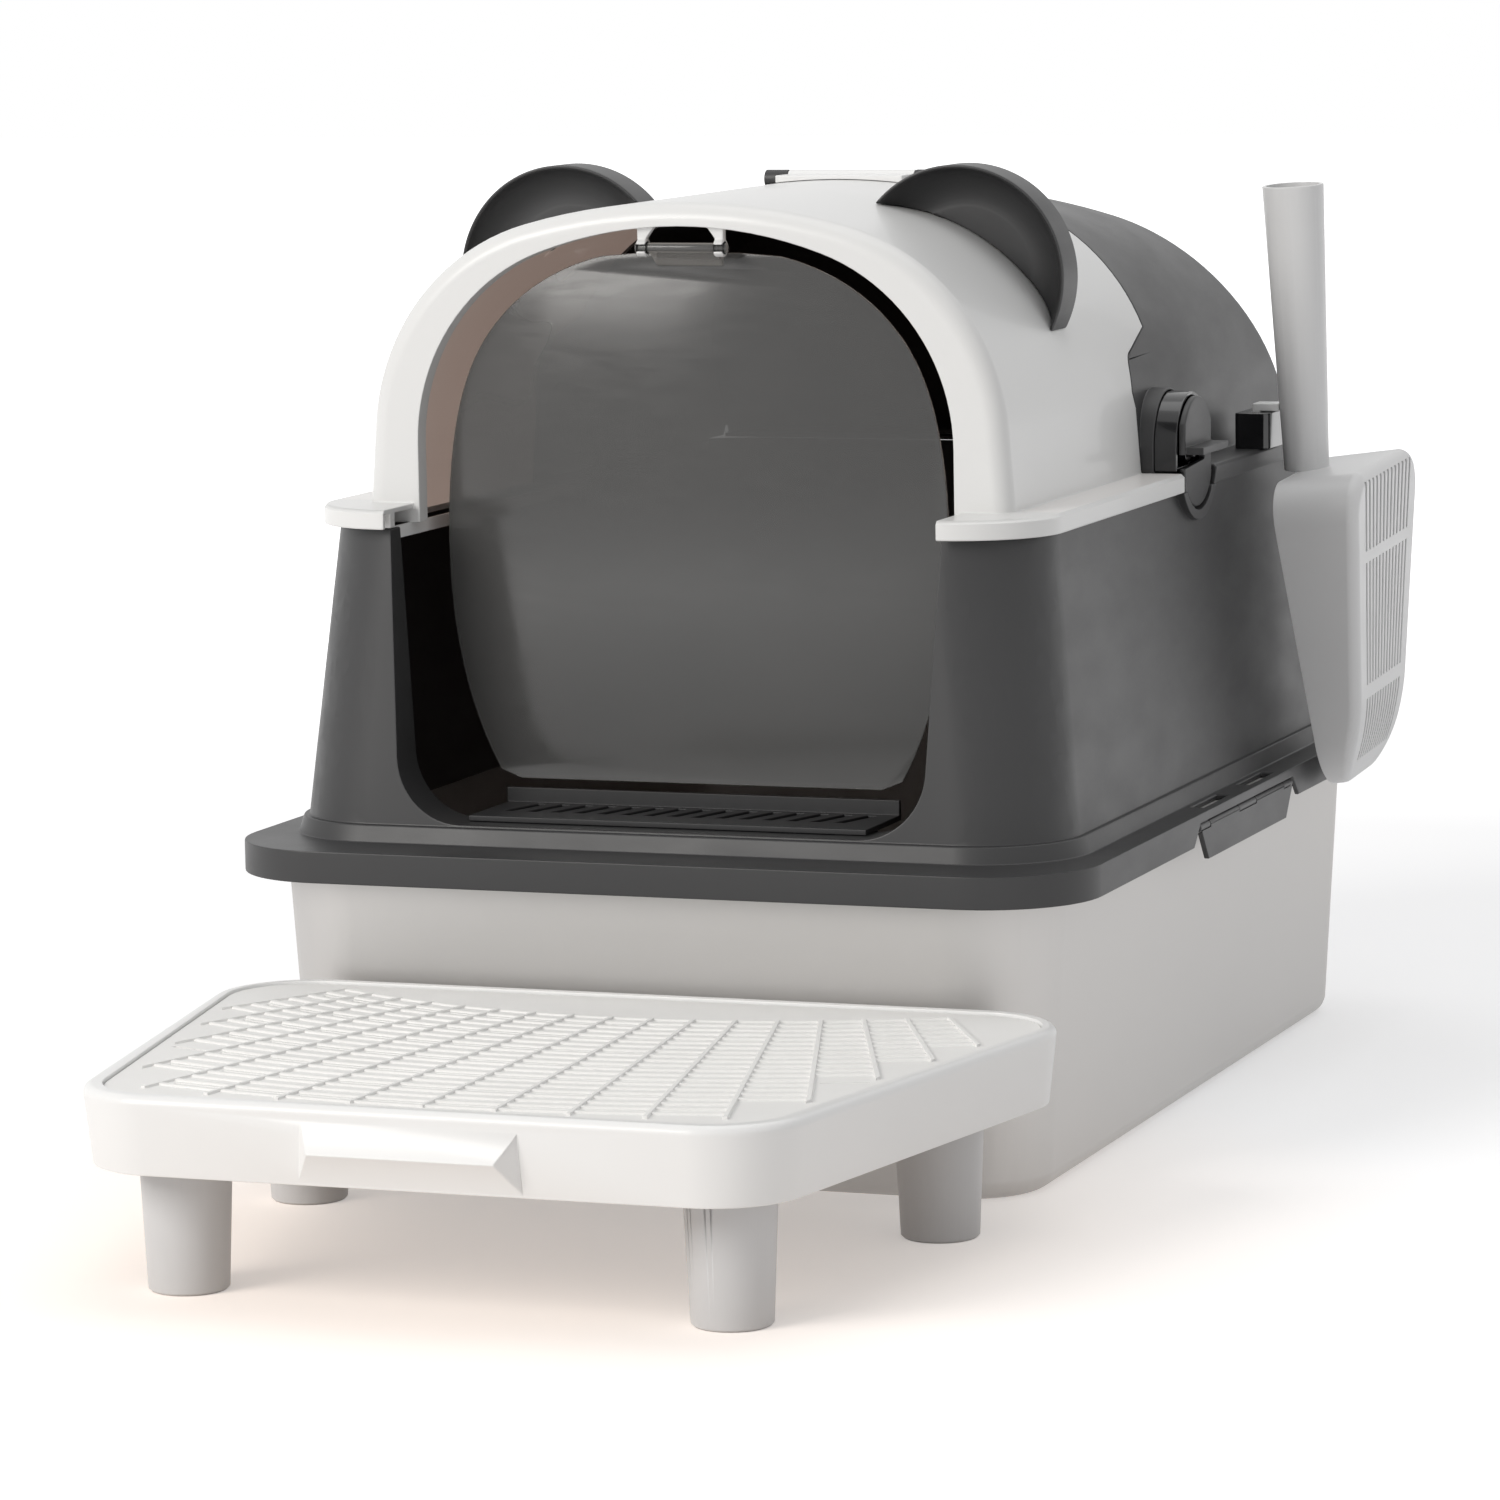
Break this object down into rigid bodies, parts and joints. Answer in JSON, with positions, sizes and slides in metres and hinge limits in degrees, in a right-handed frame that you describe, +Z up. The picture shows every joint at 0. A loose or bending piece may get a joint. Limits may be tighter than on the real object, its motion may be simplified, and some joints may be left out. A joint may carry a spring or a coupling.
{
  "type": "litter box",
  "caption": "Hooded litter box: steel pan, clip-on enclosure, tilting front hood with swing door, fixed rear hood, side latches, hanging scoop and a separate step.",
  "frame": {"origin": "centre of the steel pan's flat underside, on the floor", "axes": "+Z up, -Y towards the cat's door and the step, +X towards the side the scoop hangs on"},
  "size_m": [0.4513, 0.883, 0.4603],
  "materials": {
    "steel": "fine satin brushing, soft folded rim",
    "dark_plastic": "fine matte texture",
    "white_plastic": "smooth semi-gloss",
    "black_plastic": "smooth gloss black",
    "black_matte": "matte black",
    "smoke_clear": "smoky see-through plastic",
    "grey_plastic": "satin light grey",
    "leg_grey": "satin pale grey",
    "mat_rubber": "soft matte white",
    "pin_steel": "drawn wire"
  },
  "bodies": {
    "base": {"litter_pan": "steel", "enclosure_frame": "dark_plastic", "entry_grid": "black_matte", "clip_pins": "pin_steel"},
    "right_clip": {"side_clip_right": "dark_plastic"},
    "left_clip": {"side_clip_left": "dark_plastic"},
    "lid": {"rear_hood": "dark_plastic", "latch_housing_left": "black_plastic", "latch_housing_right": "black_plastic", "hinge_knuckles": "dark_plastic", "hinge_pin": "pin_steel", "scoop_holder": "black_plastic"},
    "front_lid": {"front_hood": "white_plastic", "ear_left": "dark_plastic", "ear_right": "dark_plastic", "hinge_block": "white_plastic"},
    "swing_door": {"flap_door": "smoke_clear"},
    "right_latch": {"latch_lever_right": "dark_plastic"},
    "left_latch": {"latch_lever_left": "dark_plastic"},
    "hand_scoop": {"scoop": "grey_plastic", "scoop_hook": "white_plastic"},
    "step": {"step_deck": "white_plastic", "step_mat": "mat_rubber", "step_leg_front_left": "leg_grey", "step_leg_front_right": "leg_grey", "step_leg_rear_left": "leg_grey", "step_leg_rear_right": "leg_grey"}
  },
  "joints": [
    {"name": "lid_lift", "type": "slide", "parent": "base", "child": "lid", "axis": [0, 0, 1], "range_m": [0, 0.12]},
    {"name": "front_hood_hinge", "type": "hinge", "parent": "lid", "child": "front_lid", "pos_m": [0, 0.029, 0.4473], "axis": [-1, 0, 0], "range_deg": [0, 95]},
    {"name": "door_swing", "type": "hinge", "parent": "front_lid", "child": "swing_door", "pos_m": [0, -0.211, 0.4268], "axis": [1, 0, 0], "range_deg": [-80, 60]},
    {"name": "right_latch_turn", "type": "hinge", "parent": "lid", "child": "right_latch", "pos_m": [0.178, 0.019, 0.3155], "axis": [1, 0, 0], "range_deg": [0, 90]},
    {"name": "left_latch_turn", "type": "hinge", "parent": "lid", "child": "left_latch", "pos_m": [-0.178, 0.019, 0.3155], "axis": [1, 0, 0], "range_deg": [0, 90]},
    {"name": "right_clip_flip", "type": "hinge", "parent": "base", "child": "right_clip", "pos_m": [0.2067, 0, 0.1453], "axis": [0, -1, 0], "range_deg": [0, 90]},
    {"name": "left_clip_flip", "type": "hinge", "parent": "base", "child": "left_clip", "pos_m": [-0.2067, 0, 0.1453], "axis": [0, 1, 0], "range_deg": [0, 90]},
    {"name": "scoop_lift", "type": "slide", "parent": "lid", "child": "hand_scoop", "axis": [0, 0, 1], "range_m": [0, 0.04]},
    {"name": "step_slide", "type": "slide", "parent": "base", "child": "step", "axis": [0, -1, 0], "range_m": [0, 0.1]}
  ]
}
